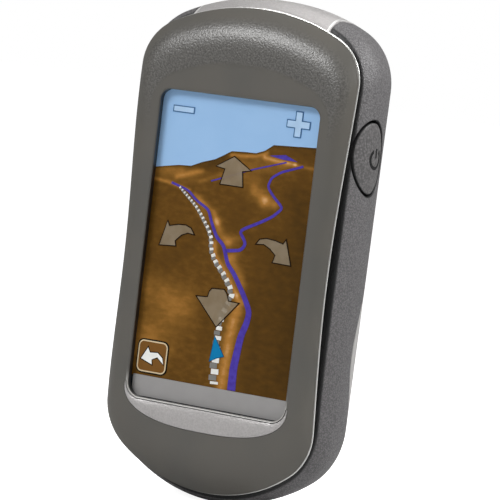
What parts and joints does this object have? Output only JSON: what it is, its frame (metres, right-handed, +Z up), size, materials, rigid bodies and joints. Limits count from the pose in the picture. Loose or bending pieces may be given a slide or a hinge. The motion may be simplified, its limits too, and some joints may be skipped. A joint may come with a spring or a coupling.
{
  "type": "handheld gps unit",
  "caption": "Handheld satellite navigation unit with a touch screen, a rubber side band with a power button, and a hinged battery door with a clip rail on its back.",
  "frame": {"origin": "below the middle of the case, at half its depth and half its width, on the level of its lowest point", "axes": "+X to the viewer's right when facing the screen, -Y the way the screen faces, +Z up along the case's height"},
  "size_m": [0.058, 0.035, 0.114],
  "materials": {
    "bezel_plastic": "smooth satin, fine texture on the top shoulder",
    "silver_plastic": "silver paint with a fine texture",
    "silver_door_plastic": "silver paint with a fine texture",
    "trim_chrome": "bright plated line",
    "band_rubber": "pebbled soft-touch overmould",
    "seal_rubber": "soft black",
    "black_plastic": "fine matt",
    "touch_glass": "clear, low gloss",
    "lcd_glass": "dark when off",
    "white_plastic": "translucent light guide",
    "tray_steel": "pressed sheet",
    "cable_film": "amber film",
    "contact_steel": "nickel plated",
    "pin_steel": "ground",
    "cell_label": "plain wrapped steel can",
    "board_laminate": "green solder mask",
    "antenna_ceramic": "fired ceramic with a silvered top",
    "chip_plastic": "moulded black",
    "plunger_plastic": "plain"
  },
  "bodies": {
    "case": {"front_bezel": "bezel_plastic", "crescent_insert": "silver_plastic", "trim_ring": "trim_chrome", "display_gasket": "seal_rubber", "display_lower_strip": "silver_plastic", "touch_panel": "touch_glass", "lcd_panel": "lcd_glass", "backlight": "white_plastic", "lcd_tray": "tray_steel", "display_cable": "cable_film", "front_frame": "black_plastic", "rubber_band": "band_rubber", "top_cap": "silver_plastic", "case_seal": "seal_rubber", "rear_housing": "black_plastic", "door_seal": "seal_rubber", "battery_left": "cell_label", "battery_right": "cell_label", "battery_spring_contact": "contact_steel", "battery_flat_contact": "contact_steel", "battery_bridge_contact": "contact_steel", "main_board": "board_laminate", "gps_antenna": "antenna_ceramic", "rf_shield": "tray_steel", "gps_receiver_chip": "chip_plastic", "processor": "chip_plastic", "memory_chip": "chip_plastic", "beeper": "chip_plastic", "card_socket": "tray_steel", "usb_connector": "tray_steel", "power_switch": "chip_plastic", "case_screw_1": "pin_steel", "case_screw_2": "pin_steel", "case_screw_3": "pin_steel", "case_screw_4": "pin_steel", "board_screw_1": "pin_steel", "board_screw_2": "pin_steel"},
    "power_button": {"power_button": "band_rubber", "switch_plunger": "plunger_plastic"},
    "battery_door": {"battery_door": "silver_door_plastic", "latch_pin": "pin_steel"},
    "latch_lever": {"latch_lever": "black_plastic"},
    "usb_cap": {"usb_cap": "band_rubber"}
  },
  "joints": [
    {"name": "power_button_press", "type": "slide", "parent": "case", "child": "power_button", "axis": [-1, 0, 0], "range_m": [0, 0.0004], "stiffness_N_per_m": 40, "springref_m": -0.002},
    {"name": "battery_door_hinge", "type": "hinge", "parent": "case", "child": "battery_door", "pos_m": [0, 0.0134, 0.0972], "axis": [1, 0, 0], "range_deg": [0, 65], "stiffness_Nm_per_rad": 0.01, "springref_deg": -17.19},
    {"name": "latch_lever_hinge", "type": "hinge", "parent": "battery_door", "child": "latch_lever", "pos_m": [0, 0.0099, 0.011], "axis": [-1, 0, 0], "range_deg": [0, 75], "stiffness_Nm_per_rad": 0.0005, "springref_deg": -17.19},
    {"name": "usb_cap_hinge", "type": "hinge", "parent": "case", "child": "usb_cap", "pos_m": [0, -0.0023, -0.0001], "axis": [1, 0, 0], "range_deg": [0, 95], "stiffness_Nm_per_rad": 0.0002, "springref_deg": -17.19}
  ]
}
